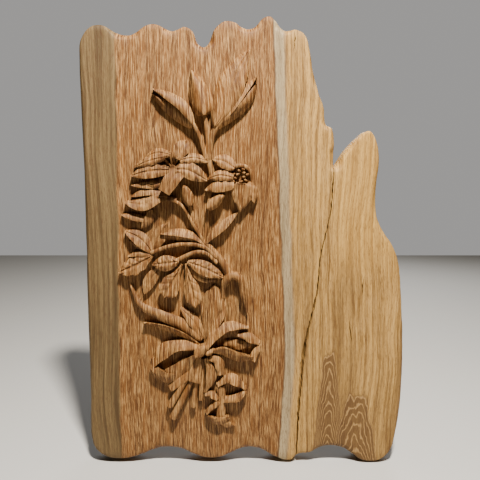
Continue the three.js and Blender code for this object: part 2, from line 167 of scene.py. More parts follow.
# %% [markdown]
# ## The strip: one raised, undercut form
#
# A carver first leaves a block standing, shapes its top face, and then cuts in
# under its edges so that it throws a deep shadow.  The strip follows that: each
# section has a face between two free edges, a thin lip, an undercut that curves
# inwards, and a foot inside the slab.  Veins, a midrib groove and a wavy edge
# are cut into the face, and slow noise stands for the marks of the gouge.

# %% The strip
ROOT = 3                    # how far a foot reaches down into the slab
LIP = 1.5                   # thickness of a free edge
TIP = 0.7                   # width at which a point ends
STATION = 2.2               # spacing of the sections
GOUGE_DEPTH = 0.34          # of the tool marks
GOUGE_SIZE = 5.5            # spacing of the tool marks
GROOVE_DEPTH = 0.7          # of lines that run along a leaf
CREASE_WIDTH = 0.16         # of the midrib groove, as a share of half the width
LIP_INSET = 0.97            # the lip's lower edge, as a share of half the width
UNDERCUT = 0.3              # how low the undercut's middle lies, as a share of the edge's lift
FOOT_FLARE = 0.08           # how much wider the undercut's middle is than the foot
FULL_HALF_WIDTH = 4         # below this half width all relief on the face fades out
OWN_LEVEL = 0.017           # each strip stands this much higher than the last
strip_number = 0


def gouge_mark(x, z, lift):
    place = Vector((x, lift, z)) / GOUGE_SIZE
    return GOUGE_DEPTH * noise.noise(place)


def vein_depth(u, t, veins, deep):
    """Side veins that leave the midrib and slant towards the tip."""
    beat = math.cos(2 * math.pi * (veins * t - 0.9 * abs(u) + 0.25))
    fade = min(1, 5 * abs(u)) * min(1, 4 * (1 - abs(u)) + 0.35)
    return deep * max(0, beat) ** 3 * fade


def strip(spine, width_at, left, right, crown=0, crease=0, veins=0, vein=0.7, wave=0,
          waves=3, grooves=0, across=9, round_face=False, foot=0.62, lip=LIP, station=STATION):
    global strip_number
    strip_number += 1
    own = OWN_LEVEL * (strip_number % 20)
    root = ROOT + own
    centres = evenly(smooth_curve(spine, 24), station)
    headings = np.gradient(centres, axis=0)
    headings /= np.linalg.norm(headings, axis=1)[:, None]
    last = len(centres) - 1
    vertices, faces = [], []
    for s, (centre, heading) in enumerate(zip(centres, headings)):
        t = s / last
        half = width_at(t) / 2
        full = min(1, half / FULL_HALF_WIDTH)
        left_lift = along(left, t) + own
        right_lift = along(right, t) + own
        ring = []

        def point(u, lift):
            x = centre[0] + heading[1] * half * u
            z = centre[1] - heading[0] * half * u
            ring.append(on_face(x, z, lift + gouge_mark(x, z, lift) * full))

        def under(u, level):
            low = max(level - lip, 0.5 - root)
            return low, max(min(low - 0.2, UNDERCUT * level), 0.3 - root)

        left_low, left_mid = under(-1, left_lift)
        right_low, right_mid = under(1, right_lift)
        point(-foot, -root)
        point(-foot - FOOT_FLARE, left_mid)
        point(-LIP_INSET, left_low)
        for u in np.linspace(-1, 1, across):
            level = left_lift + (right_lift - left_lift) * (u + 1) / 2
            rounded = math.sqrt(max(0, 1 - u * u)) if round_face else 1 - u * u
            bulge = crown * rounded * full
            groove = crease * math.exp(-(u / CREASE_WIDTH) ** 2) * full
            ripple = wave * math.sin(2 * math.pi * waves * t + 1.3 * u) * abs(u) ** 2 * full
            cut = vein_depth(u, t, veins, vein) * full if veins else 0
            if grooves:
                cut += GROOVE_DEPTH * full * max(0, math.cos(math.pi * grooves * u)) ** 2
            point(u, level + bulge - groove + ripple - cut)
        point(LIP_INSET, right_low)
        point(foot + FOOT_FLARE, right_mid)
        point(foot, -root)
        vertices += ring
    count = len(ring)
    for r in range(last):
        for i in range(count):
            a = r * count + i
            b = r * count + (i + 1) % count
            faces.append((a, a + count, b + count, b))
    end = last * count
    for i in range(1, count - 1):
        faces.append((0, i, i + 1))
        faces.append((end, end + i + 1, end + i))
    return vertices, faces


print("a raised edge has a lip of", LIP, "mm; sections stand", STATION, "mm apart")

# %% [markdown]
# Four kinds of strip do all the work.  They differ only in how the width runs
# from base to tip and in whether the face is flat or rounded.

# %% Leaf, ribbon, stem and bud
def leaf(width, full=0.5, neck=3, wave=0.5, crown=1.6, lobes=0, **rest):
    """A narrow neck, fullest at a fraction of its length, then a point."""
    power = math.log(0.5) / math.log(full)

    def width_at(t):
        swell = math.sin(math.pi * min(t, 1) ** power) if t < 1 else 0
        scallop = 1 + 0.09 * math.sin(2 * math.pi * lobes * t) if lobes else 1
        return max(TIP, width * scallop * max(0, swell) ** 0.8 + neck * (1 - t) ** 3)

    return strip(width_at=width_at, wave=wave, crown=crown, **rest)


def ribbon(width, crown=1.4, wave=1.1, waves=1.6, **rest):
    """A band with square ends that bulges and ripples a little, as cloth does."""
    return strip(width_at=lambda t: along(width, t), crown=crown, wave=wave, waves=waves,
                 across=11, **rest)


def stem(width, lift, **rest):
    """A round stalk; its lift is that of its top."""
    heaviest = max(width) if isinstance(width, list) else width
    drop = heaviest * 0.45
    side = [top - drop for top in lift] if isinstance(lift, list) else lift - drop
    return strip(width_at=lambda t: along(width, t), left=side, right=side, crown=drop,
                 round_face=True, across=9, foot=0.8, lip=0.8, **rest)


def bud(start, end, width, lift):
    """A closed bud: an egg-shaped body standing clear of the slab."""
    def width_at(t):
        return max(TIP, width * math.sin(math.pi * (0.05 + 0.94 * t) ** 0.8) ** 0.6)

    return strip(spine=[start, end], width_at=width_at, left=lift * 0.5, right=lift * 0.5,
                 crown=lift * 0.5, round_face=True, across=13, foot=0.5, station=1.2)


print("strip tools are ready")

# %% [markdown]
# ## The buds at the top
#
# Three closed lilies rise above the bouquet: a folded pod on the left, a round
# bud in the middle, then a broad fanned leaf and a second pod on the right.  A
# pod is made of two strips whose raised edges face each other, so that a dark
# slit stays between them.

# %% Top buds
def top_buds():
    return [
        stem(spine=[[-50, 126], [-56, 148], [-63, 165], [-71, 178]], width=[7, 5], lift=[8, 13]),
        stem(spine=[[-49, 126], [-48, 152], [-50, 172], [-53, 188]], width=6, lift=[7, 10]),
        stem(spine=[[-47, 126], [-44, 148], [-37, 166], [-25, 181]], width=[9, 8], lift=[8, 12]),
        leaf(spine=[[-66, 170], [-79, 193], [-99, 207], [-120, 217]], width=14, full=0.45,
             left=[11, 15, 11], right=[9, 8, 6], crown=3, wave=0),
        leaf(spine=[[-67, 167], [-84, 182], [-102, 195], [-121, 211]], width=17, full=0.42,
             left=[3, 3, 3], right=[6, 6, 6], crown=5, across=13, wave=0),
        leaf(spine=[[-52, 182], [-57, 206], [-69, 242]], width=27, full=0.4, neck=9,
             left=[5, 4, 0], right=[5, 3, 0], crown=11, across=15, wave=0),
        leaf(spine=[[-46, 184], [-46, 200], [-52, 226]], width=7, full=0.5,
             left=[9, 9, 4], right=[4, 3, 1], crown=1, wave=0),
        leaf(spine=[[-40, 166], [-26, 200], [-12, 232], [8, 268]], width=36, full=0.5,
             left=[6, 3, 1], right=[10, 13, 4], crown=6, crease=0.8, across=17, grooves=4, wave=0),
        leaf(spine=[[-36, 168], [-19, 190], [0, 214], [17, 232]], width=13, full=0.5,
             left=[5, 6, 3], right=[10, 14, 9], crown=1),
        leaf(spine=[[-35, 165], [-14, 183], [6, 202], [17, 223]], width=13, full=0.55,
             left=[10, 13, 8], right=[3, 3, 3], crown=3),
        stem(spine=[[-49, 132], [-46, 120], [-43, 105], [-47, 60], [-52, 14]], width=[9, 5],
             lift=[8, 6, 3]),
    ]

# %% [markdown]
# ## The two open flowers
#
# Each flower is a ring of petals that starts at one throat and curls outwards.
# The throat itself is cut afterwards with an egg-shaped tool, as a carver
# hollows it with a bent gouge, and the stamens stand in it.

# %% Left flower
LEFT_THROAT = [-98, 121]
RIGHT_THROAT = [-4, 102]


def left_petals():
    return [
        leaf(spine=[[-97, 131], [-115, 134], [-133, 127]], width=11, neck=8, wave=1.1, waves=3.5,
             left=[13, 11, 8], right=[8, 4, 2], crown=3, crease=1.5, veins=4),
        leaf(spine=[[-104, 128], [-125, 123], [-147, 115]], width=12, neck=8, wave=1.1, waves=3.5,
             left=[15, 12, 7], right=[11, 8, 4], crown=3, crease=1.5, veins=5),
        leaf(spine=[[-98, 111], [-122, 110], [-151, 104]], width=18, neck=8, wave=1.1, waves=3.5,
             left=[17, 15, 11], right=[14, 9, 5], crown=2, crease=2, veins=4),
        leaf(spine=[[-98, 101], [-118, 93], [-138, 95]], width=11, neck=5,
             left=[10, 9, 6], right=[8, 6, 5], crown=3, crease=1.5, veins=4),
        ribbon(spine=[[-85, 113], [-97, 95], [-105, 82]], width=[22, 21, 17],
               left=[14, 20, 20], right=[14, 18, 19], crown=2, crease=1.2),
        leaf(spine=[[-90, 112], [-74, 111], [-60, 104], [-48, 97]], width=21, neck=8, wave=1.1, waves=3.5,
             left=[13, 10, 6], right=[16, 14, 10], crown=3, crease=2, veins=5, vein=1, across=13),
        leaf(spine=[[-84, 124], [-66, 127], [-45, 122]], width=12, neck=8, wave=1.1, waves=3.5,
             left=[10, 6, 3], right=[13, 11, 8], crown=3, crease=1.5, veins=4),
        leaf(spine=[[-89, 126], [-83, 138], [-74, 151]], width=20, full=0.55, neck=10,
             left=[11, 8, 3], right=[14, 12, 9], crown=3, crease=1.8, veins=5),
    ]


STAMEN_ROOT = [-95, 113]
STAMEN_TIPS = [[-106, 127], [-98, 135], [-91, 132], [-86, 128]]
FINE_STATION = 1.2          # spacing of the sections on the smallest forms


def left_stamens():
    made = []
    for x, z in STAMEN_TIPS:
        middle = [(x + STAMEN_ROOT[0]) / 2, (z + STAMEN_ROOT[1]) / 2]
        made.append(stem(spine=[STAMEN_ROOT, middle, [x, z]], width=[2.2, 3.4], lift=[6, 12],
                         station=FINE_STATION))
    return made


print("the left throat is", LEFT_THROAT, "and holds", len(STAMEN_TIPS), "stamens")

# %% [markdown]
# The right flower looks straight out of the panel.  Its stamens show as a ring
# of small seeds, laid out as a sunflower lays out its own: each one a fixed
# turn after the last and a little further out.

# %% Right flower
SEEDS = 13
SEED_TURN = 2.4             # radians from one seed to the next
SEED_RING = [2, 9.5]        # how far out the first is, and how much further the last
SEED_HALF_LENGTH = 2.3


def right_petals():
    return [
        leaf(spine=[[-12, 114], [-27, 123], [-42, 126]], width=18, neck=8, wave=1.1, waves=3.5,
             left=[12, 10, 6], right=[8, 4, 2], crown=3, crease=1.6, veins=5),
        leaf(spine=[[-14, 101], [-32, 104], [-49, 99]], width=13, neck=8, wave=1.1, waves=3.5,
             left=[14, 13, 9], right=[11, 9, 6], crown=3, crease=1.5, veins=5),
        leaf(spine=[[-13, 91], [-32, 90], [-52, 85]], width=15, neck=8, wave=1.1, waves=3.5,
             left=[16, 15, 10], right=[13, 10, 6], crown=2, veins=4),
        leaf(spine=[[-1, 94], [-2, 76], [-5, 55]], width=27, full=0.3, neck=12,
             left=[9, 10, 9], right=[14, 12, 10], crown=3, crease=1.5, across=13),
        leaf(spine=[[5, 94], [12, 83], [15, 67]], width=13, neck=8, wave=1.1, waves=3.5,
             left=[4, 4, 6], right=[11, 12, 10], crown=3, crease=1.5, veins=4),
        stem(spine=[[-22, 108], [-12, 116], [2, 116], [10, 107], [12, 92]], width=[6, 5],
             lift=[9, 8, 5]),
    ]


def right_stamens():
    made = []
    for i in range(SEEDS):
        angle = i * SEED_TURN
        reach = SEED_RING[0] + SEED_RING[1] * math.sqrt((i + 0.5) / SEEDS)
        x = RIGHT_THROAT[0] + math.cos(angle) * reach
        z = RIGHT_THROAT[1] + math.sin(angle) * reach
        turn = math.sin(3 * angle)
        made.append(bud(start=[x - SEED_HALF_LENGTH, z - 1.2 * turn],
                        end=[x + SEED_HALF_LENGTH, z + 1.2 * turn], width=3.6,
                        lift=11 + 2 * turn))
    return made


print("the right throat is", RIGHT_THROAT, "and holds", SEEDS, "seeds")

# %% [markdown]
# ## Small buds and long curling leaves
#
# Below the flowers hang two buds on thin stalks.  To the left runs one long
# leaf whose tip splits into curls, and smaller leaves fill the gaps between.

# %% Buds and long leaves
def buds_and_long_leaves():
    return [
        bud(start=[-71, 64], end=[-80, 91], width=16, lift=16),
        stem(spine=[[-74, 66], [-66, 38], [-54, 11]], width=[6, 4], lift=[7, 6]),
        bud(start=[-49, 60], end=[-26, 79], width=15, lift=17),
        stem(spine=[[-48, 61], [-50, 40], [-53, 12]], width=[6, 4], lift=[7, 6]),
        stem(spine=[[-50, 8], [-68, 38], [-83, 64], [-100, 73]], width=[4, 4], lift=[9, 11]),
        leaf(spine=[[-90, 72], [-112, 75], [-135, 66], [-160, 69]], width=18, full=0.6,
             left=[10, 15, 11], right=[8, 7, 4], neck=4, crease=1.2, veins=5, vein=0.9),
        leaf(spine=[[-124, 58], [-128, 46], [-138, 33]], width=12, left=[4, 5, 4],
             right=[7, 9, 8], crown=1),
        leaf(spine=[[-128, 44], [-146, 48], [-166, 52]], width=9, left=[8, 9, 7],
             right=[5, 5, 4], crown=1),
        leaf(spine=[[-110, 89], [-130, 91], [-151, 91]], width=8, left=[8, 9, 7],
             right=[6, 6, 5], crown=1),
        leaf(spine=[[-108, 80], [-128, 83], [-152, 76]], width=10, left=[9, 10, 8],
             right=[6, 5, 4], crown=1),
        leaf(spine=[[-51, 14], [-40, 27], [-25, 40], [-8, 55]], width=12,
             left=[6, 5, 4], right=[9, 12, 9], wave=0.8, waves=4),
        leaf(spine=[[-48, 9], [-70, 24], [-92, 28], [-113, 26]], width=10, full=0.6,
             left=[8, 13, 9], right=[5, 3, 4]),
        leaf(spine=[[-58, 13], [-82, 19], [-111, 22]], width=7, left=[4, 4, 4], right=[6, 8, 6]),
    ]

# %% [markdown]
# ## Leafy branches
#
# Two thin branches arch to the left over the ground and carry the veined
# leaves.  Every leaf has a groove along its middle and slanting side veins,
# which are cut into the mesh because they catch the light from close by.

# %% Branches
def branches():
    return [
        stem(spine=[[-38, -6], [-52, 7], [-75, 12], [-100, 9], [-126, 0]], width=5.5, lift=11),
        leaf(spine=[[-124, 0], [-140, 19], [-161, 30]], width=18, crease=2, crown=1,
             left=[9, 12, 9], right=[6, 4, 3], veins=5),
        leaf(spine=[[-127, 1], [-142, 10], [-157, 16]], width=9, left=[4, 5, 4], right=[5, 5, 4],
             crease=1),
        leaf(spine=[[-121, 4], [-116, 20], [-103, 40]], width=20, crown=1,
             left=[5, 3, 3], right=[5, 6, 8], crease=1.5, veins=5),
        leaf(spine=[[-124, -2], [-142, -1], [-158, -5]], width=8, left=[9, 9, 7], right=[6, 5, 4]),
        leaf(spine=[[-124, -4], [-145, -16], [-171, -27]], width=23, full=0.55, crown=2,
             crease=3, left=[10, 14, 10], right=[7, 6, 4], veins=5, vein=1.2, across=17,
             lobes=4, station=1.4),
        stem(spine=[[-36, -14], [-50, -1], [-64, 1], [-78, -4], [-92, -11]], width=5.5, lift=11),
        leaf(spine=[[-88, -11], [-105, -14], [-125, -16]], width=21, crown=3, crease=2,
             left=[11, 12, 9], right=[9, 8, 5], veins=5, vein=1.5, across=15, station=1.4),
        leaf(spine=[[-84, -16], [-96, -38], [-109, -61]], width=29, full=0.7, crown=3,
             crease=3, left=[8, 10, 13], right=[8, 10, 13], veins=5, vein=1.2, across=19,
             lobes=2.6, station=1.4),
        leaf(spine=[[-114, -20], [-128, -38], [-137, -58]], width=17, left=[5, 6, 6],
             right=[5, 6, 5], crown=1, crease=1.5, veins=5),
        leaf(spine=[[-79, -15], [-72, -45], [-65, -75]], width=24, full=0.7, crown=3,
             crease=3, left=[8, 11, 13], right=[9, 11, 13], veins=5, vein=1.2, across=19,
             lobes=2.6, station=1.4),
        leaf(spine=[[-76, -12], [-53, -21], [-27, -34]], width=19, crown=2, crease=2,
             left=[8, 7, 6], right=[11, 13, 10], veins=6, vein=1.5, across=15, station=1.4),
        leaf(spine=[[-74, -20], [-56, -34], [-36, -38]], width=13, left=[5, 6, 4], right=[6, 8, 6],
             crease=1),
    ]

# %% [markdown]
# ## The main stalk
#
# The stalks run together into one thick stem, which ends in a hooked twig and a
# broad smooth sheath.  The sheath and two long folded leaves lead down to the
# knot of the ribbon.

# %% Stalk
def stalk():
    return [
        stem(spine=[[-52, 14], [-41, 1], [-28, -15], [-18, -34]], width=[8, 12], lift=[9, 11]),
        stem(spine=[[-29, -64], [-26, -42], [-16, -31], [-5, -36], [-1, -58], [5, -88]],
             width=[8, 12, 8, 1.5], lift=[4, 15, 14, 9]),
        leaf(spine=[[-54, -128], [-48, -102], [-43, -74], [-40, -44]], width=31, full=0.65,
             left=[6, 3, 1], right=[4, 5, 2], crown=3, across=21, grooves=5, wave=0.8),
        leaf(spine=[[-52, -126], [-46, -108], [-33, -90], [-24, -74]], width=13, full=0.55,
             left=[4, 3, 1], right=[8, 10, 4], crown=1),
        stem(spine=[[-20, -70], [-19, -99]], width=3, lift=3),
        leaf(spine=[[-56, -120], [-68, -97], [-87, -76]], width=15, left=[8, 11, 8],
             right=[7, 6, 5], crease=1.2),
        leaf(spine=[[-58, -122], [-82, -101], [-112, -88], [-141, -73], [-156, -44]], width=14,
             full=0.4, left=[8, 9, 8, 6], right=[6, 8, 7, 4], crown=3, neck=5, across=13),
        leaf(spine=[[-60, -131], [-83, -116], [-106, -106], [-139, -98]], width=10,
             left=[5, 3, 3], right=[9, 14, 9], across=11),
    ]

# %% [markdown]
# ## The bow
#
# A ribbon is tied around the stalks: a knot, two loops and two folded tails.
# Each stretch between two folds is its own flat band that stands on edge or
# leans, which is what makes a carved ribbon read as cloth.

# %% Bow
def bow():
    return [
        bud(start=[-66, -142], end=[-50, -127], width=17, lift=22),
        bud(start=[-53, -141], end=[-40, -134], width=10, lift=18),
        ribbon(spine=[[-60, -132], [-86, -128], [-110, -137], [-127, -158]],
               width=[7, 12, 20, 8], left=[16, 17, 14, 10], right=[14, 8, 4, 4]),
        ribbon(spine=[[-126, -148], [-126, -158], [-120, -168]], width=[5, 9, 10],
               left=[5, 6, 8], right=[12, 11, 12]),
        ribbon(spine=[[-124, -166], [-110, -175], [-97, -178]], width=16,
               left=[13, 14, 12], right=[7, 8, 7]),
        ribbon(spine=[[-104, -173], [-86, -162], [-66, -144]], width=[22, 20, 8],
               left=[11, 10, 14], right=[8, 7, 11], crown=1),
        ribbon(spine=[[-52, -131], [-40, -114], [-20, -102], [7, -105]], width=[8, 14, 11, 3],
               left=[12, 8, 5, 6], right=[16, 15, 13, 9]),
        ribbon(spine=[[-8, -115], [8, -118], [22, -127]], width=[3, 12, 7], left=[8, 7, 5],
               right=[10, 13, 10]),
        ribbon(spine=[[-27, -127], [-8, -130], [10, -132]], width=[8, 14, 8], left=4, right=4),
        ribbon(spine=[[-46, -137], [-28, -138], [-8, -146], [13, -148]], width=[5, 14, 14, 7],
               left=[15, 15, 16, 14], right=[10, 8, 7, 8]),
        ribbon(spine=[[11, -150], [15, -142], [23, -129]], width=[10, 9, 4], left=[8, 8, 7],
               right=[13, 11, 9]),
        ribbon(spine=[[-47, -146], [-35, -152], [-32, -172]], width=[8, 13, 9],
               left=[10, 9, 8], right=[12, 13, 11]),
        ribbon(spine=[[-62, -146], [-66, -164], [-71, -181]], width=[6, 15, 19],
               left=[12, 11, 12], right=[11, 12, 12], crease=1.2),
        ribbon(spine=[[-52, -148], [-45, -172], [-54, -198]], width=[6, 15, 4],
               left=[9, 10, 8], right=[9, 11, 8], crease=1),
        ribbon(spine=[[-37, -187], [-18, -177], [4, -193]], width=[5, 14, 5],
               left=[7, 7, 6], right=[10, 13, 10]),
        ribbon(spine=[[4, -196], [-11, -206], [-29, -209]], width=[4, 10, 7],
               left=[11, 13, 9], right=[8, 7, 6]),
        ribbon(spine=[[-32, -190], [-31, -214], [-33, -238]], width=12, left=7, right=7),
        ribbon(spine=[[-54, -200], [-46, -200], [-36, -208]], width=[4, 8, 6], left=7, right=11),
        ribbon(spine=[[-36, -211], [-53, -228]], width=[8, 5], left=11, right=7),
        ribbon(spine=[[-51, -232], [-38, -240], [-20, -236]], width=[3, 12, 6],
               left=[12, 12, 10], right=[8, 8, 7]),
        ribbon(spine=[[-38, -240], [-24, -246], [-12, -250]], width=[6, 12, 4], left=7, right=4),
    ]


def cut_stalks():
    """The cut ends of the stalks, which fan out below the knot."""
    return [
        stem(spine=[[-62, -148], [-82, -182], [-104, -218]], width=[6, 10], lift=[10, 13]),
        stem(spine=[[-60, -150], [-76, -188], [-100, -236]], width=[6, 11], lift=[9, 12]),
        stem(spine=[[-58, -150], [-67, -190], [-71, -220]], width=[6, 8], lift=[8, 10]),
        stem(spine=[[-56, -150], [-59, -182], [-60, -210]], width=[6, 8], lift=[7, 9]),
        ribbon(spine=[[-76, -171], [-88, -181], [-103, -192]], width=[8, 10, 8], left=12, right=8),
    ]

# %% [markdown]
# ## The slab
#
# The board keeps its natural edge, so its outline is a closed smooth curve
# through a few places read clockwise from the top left.  The edge is worn
# round, most of all where it stands out, and a little less in the bays.

# %% Outline of the slab
TOP_EDGE = [
    [-214, 281], [-201, 297], [-185, 299], [-169, 291], [-154, 288], [-139, 293],
    [-121, 301], [-106, 297], [-93, 293], [-77, 297], [-67, 291], [-61, 278],
    [-53, 273], [-46, 279], [-39, 293], [-25, 304], [-10, 302], [4, 296],
    [14, 298], [24, 307], [34, 310], [44, 302], [54, 294], [68, 294], [79, 288],
]
RIGHT_EDGE = [
    [86, 272], [92, 242], [99, 217], [108, 191], [111, 172], [117, 168],
    [121, 156], [122, 136], [123, 116], [127, 120], [139, 138], [154, 154],
    [168, 164], [178, 151], [183, 120], [181, 90], [183, 52], [191, 31],
    [205, 9], [215, -18], [220, -57], [224, -102], [226, -153], [225, -218],
    [220, -261], [213, -289], [202, -302],
]
BOTTOM_EDGE = [
    [188, -307], [171, -305], [156, -296], [140, -288], [123, -286], [107, -290],
    [93, -296], [80, -298], [71, -304], [61, -305], [46, -301], [28, -292],
    [11, -288], [-4, -290], [-22, -297], [-42, -302], [-66, -299], [-88, -291],
    [-109, -288], [-129, -291], [-152, -299], [-178, -303], [-198, -300],
]
LEFT_EDGE = [
    [-212, -290], [-219, -272], [-219, -203], [-219, -82], [-217, 80], [-217, 257],
]
EDGE_ROUND = 8.5            # usual radius of the worn front edge
EDGE_ROUND_MIN = 4.5
EDGE_ROUND_MAX = 12
BACK_ROUND = 2
PER_SPAN = 6                # points between two places of the outline
ROUND_STEPS = 7             # rings over the worn edge
SPARE = 0.6                 # the smooth slab stands this much above the grain
EDGE_WEAR = 0.9             # how far dents go into the live edge
EDGE_WEAR_SIZE = 9


def slab_body():
    line = smooth_curve(OUTLINE, PER_SPAN, closed=True)
    count = len(line)
    heading = np.roll(line, -1, axis=0) - np.roll(line, 1, axis=0)
    heading /= np.linalg.norm(heading, axis=1)[:, None]
    inward = np.stack([heading[:, 1], -heading[:, 0]], axis=1)
    reach = PER_SPAN
    before = np.roll(inward, reach, axis=0)
    after = np.roll(inward, -reach, axis=0)
    bend = before[:, 0] * after[:, 1] - before[:, 1] * after[:, 0]
    rounds = np.clip(EDGE_ROUND + 7 * bend, EDGE_ROUND_MIN, EDGE_ROUND_MAX)
    rings = [(np.full(count, BACK_ROUND), np.zeros(count)),
             (np.full(count, BACK_ROUND * 0.3), np.full(count, BACK_ROUND * 0.3)),
             (np.zeros(count), np.full(count, BACK_ROUND))]
    for k in range(ROUND_STEPS + 1):
        angle = math.pi / 2 * k / ROUND_STEPS
        rings.append((rounds * (1 - math.cos(angle)),
                      THICKNESS + SPARE - rounds * (1 - math.sin(angle))))
    vertices = []
    for inset, depth in rings:
        for i in range(count):
            x, z = line[i] + inward[i] * inset[i]
            dent = noise.noise(Vector((x, depth[i] * 1.5, z)) / EDGE_WEAR_SIZE)
            wear = EDGE_WEAR * dent * min(1, depth[i] / EDGE_WEAR_SIZE)
            x -= inward[i][0] * min(wear, 0)
            z -= inward[i][1] * min(wear, 0)
            vertices.append((x * MM, -depth[i] * MM, z * MM))
    faces = []
    for r in range(len(rings) - 1):
        for i in range(count):
            j = (i + 1) % count
            faces.append((r * count + i, (r + 1) * count + i, (r + 1) * count + j, r * count + j))
    faces.append(tuple(range(count)))
    faces.append(tuple(reversed(range((len(rings) - 1) * count, len(rings) * count))))
    return vertices, faces


OUTLINE = TOP_EDGE + RIGHT_EDGE + BOTTOM_EDGE + LEFT_EDGE
print("the outline has", len(OUTLINE), "places and", PER_SPAN * len(OUTLINE), "points")

# %% [markdown]
# The face was brushed after planing, which wears the soft early wood away and
# leaves fine upright ridges.  They are real relief: a thick sheet with ridges
# on its front is laid over the slab, and only what both have in common stays.

# %% Brushed face
RIDGE_HEIGHT = 0.34
COLUMN = 2.4                # spacing of the sheet's points across the grain
ROW = 11                    # and along it


def brushed(x, z):
    """Height of the brushed face, in millimetres."""
    sway = 2.5 * noise.noise(Vector((x / 90, 0, z / 120)))
    broad = noise.noise(Vector(((x + sway) / 5.5, 3, z / 160)))
    narrow = noise.noise(Vector(((x + sway) / 2.7, 7, z / 70)))
    return RIDGE_HEIGHT * (0.6 * broad + 0.7 * narrow)


def brushed_sheet():
    xs = np.arange(-236, 242, COLUMN)
    zs = np.arange(-325, 331, ROW)
    vertices = [on_face(x, z, brushed(x, z)) for z in zs for x in xs]
    wide = len(xs)
    faces = []
    for r in range(len(zs) - 1):
        for i in range(wide - 1):
            a = r * wide + i
            faces.append((a, a + 1, a + wide + 1, a + wide))
    rim = list(range(wide))
    rim += [r * wide + wide - 1 for r in range(1, len(zs))]
    rim += [(len(zs) - 1) * wide + i for i in range(wide - 2, -1, -1)]
    rim += [r * wide for r in range(len(zs) - 2, 0, -1)]
    behind = len(vertices)
    for i in rim:
        x, _, z = vertices[i]
        vertices.append((x, 5 * MM, z))
    for k in range(len(rim)):
        n = (k + 1) % len(rim)
        faces.append((rim[n], rim[k], behind + k, behind + n))
    faces.append(tuple(behind + k for k in reversed(range(len(rim)))))
    return vertices, faces


print("the brushed ridges are about", COLUMN, "mm apart and", RIDGE_HEIGHT, "mm high")

# %% [markdown]
# ## Cracks
#
# Drying has opened the board.  One long crack runs from the notch beside the
# right lobe down to the foot, and several short ones lie near it.  Each is a
# thin wedge that wanders a little and is cut out of the slab.

# %% Crack tools
LONG_CRACK = [[122, 122], [118, 53], [106, -5], [102, -55], [86, -135], [79, -220], [76, -310]]
SHORT_CRACKS = [
    [[118, 110], [120, 80], [118, 50]],
    [[148, -98], [150, -115], [152, -131]],
    [[167, -34], [165, -50], [166, -66]],
    [[66, 291], [67, 280], [66, 269]],
    [[5, 260], [5, 256]],
]
LONG_WIDTH = [1.2, 1.5, 1.8, 2.6, 4.8, 3.2, 1.6]
LONG_DEPTH = 9
SHORT_WIDTH = [0.4, 1.5, 0.4]
SHORT_DEPTH = 4


def crack_wedge(spine, width, depth):
    centres = evenly(smooth_curve(spine, 20), 2.5)
    last = len(centres) - 1
    vertices, faces = [], []
    for s, (x, z) in enumerate(centres):
        half = along(width, s / last) / 2
        x += 0.9 * noise.noise(Vector((3.1, 0, z / 7)))
        half *= 1 + 0.5 * noise.noise(Vector((9.7, 0, z / 5)))
        for side, lift in ((-1, 2), (-1, -1), (-0.3, -depth), (0.3, -depth), (1, -1), (1, 2)):
            vertices.append(on_face(x + side * half, z, lift))
    count = 6
    for r in range(last):
        for i in range(count):
            a = r * count + i
            b = r * count + (i + 1) % count
            faces.append((a, b, b + count, a + count))
    end = last * count
    faces.append(tuple(reversed(range(count))))
    faces.append(tuple(end + i for i in range(count)))
    return vertices, faces


print("cracks:", 1 + len(SHORT_CRACKS), "- the long one is up to", max(LONG_WIDTH), "mm wide")

# %% [markdown]
# ## Joining it all
#
# The pieces are joined with Blender's Boolean modifier.  Its Manifold solver
# needs closed meshes and is quick even with many of them.  The slots of the
# materials are fixed first, because a face keeps its slot number through the
# cut: 0 is the board, 1 the carving and 2 the inside of a crack.

# %% Boolean helpers
BOARD, CARVED, OLD_CRACK = 0, 1, 2


def shape(name, made, slot):
    """An object from vertices and faces whose faces all use one slot."""
    item = new_object(name, *made)
    item.data.polygons.foreach_set("material_index", [slot] * len(item.data.polygons))
    facing = bmesh.new()
    facing.from_mesh(item.data)
    bmesh.ops.recalc_face_normals(facing, faces=facing.faces)
    facing.to_mesh(item.data)
    facing.free()
    return item


def combine(base, others, operation):
    """base after it is joined with the others, cut by them or kept inside them."""
    tools = bpy.data.collections.new("tools")
    bpy.context.scene.collection.children.link(tools)
    for other in others:
        bpy.context.scene.collection.objects.unlink(other)
        tools.objects.link(other)
    cut = base.modifiers.new("combine", "BOOLEAN")
    cut.operation = operation
    cut.solver = "MANIFOLD"
    cut.operand_type = "COLLECTION"
    cut.collection = tools
    graph = bpy.context.evaluated_depsgraph_get()
    result = bpy.data.meshes.new_from_object(base.evaluated_get(graph))
    base.modifiers.clear()
    base.data = result
    for other in others:
        bpy.data.objects.remove(other)
    bpy.data.collections.remove(tools)
    return base


def egg(centre, radii, bottom, top):
    """The gouged hollow of a throat."""
    body = bmesh.new()
    bmesh.ops.create_uvsphere(body, u_segments=32, v_segments=18, radius=1)
    half = (top - bottom) / 2
    for v in body.verts:
        v.co = Vector(on_face(centre[0] + radii[0] * v.co.x, centre[1] + radii[1] * v.co.z,
                              (bottom + top) / 2 + half * v.co.y))
    mesh = bpy.data.meshes.new("egg")
    body.to_mesh(mesh)
    body.free()
    item = bpy.data.objects.new("egg", mesh)
    bpy.context.scene.collection.objects.link(item)
    mesh.polygons.foreach_set("material_index", [CARVED] * len(mesh.polygons))
    return item


print("slots: board", BOARD, "carving", CARVED, "crack", OLD_CRACK)

# %% [markdown]
# The order matters.  The ridges are laid on the slab first and the cracks are
# cut next, so that the carving is not cracked with it; the carving comes last.

# %% Join the panel
THROAT_BOTTOM = 1           # lift of the deepest place of a throat
THROAT_TOP = 24


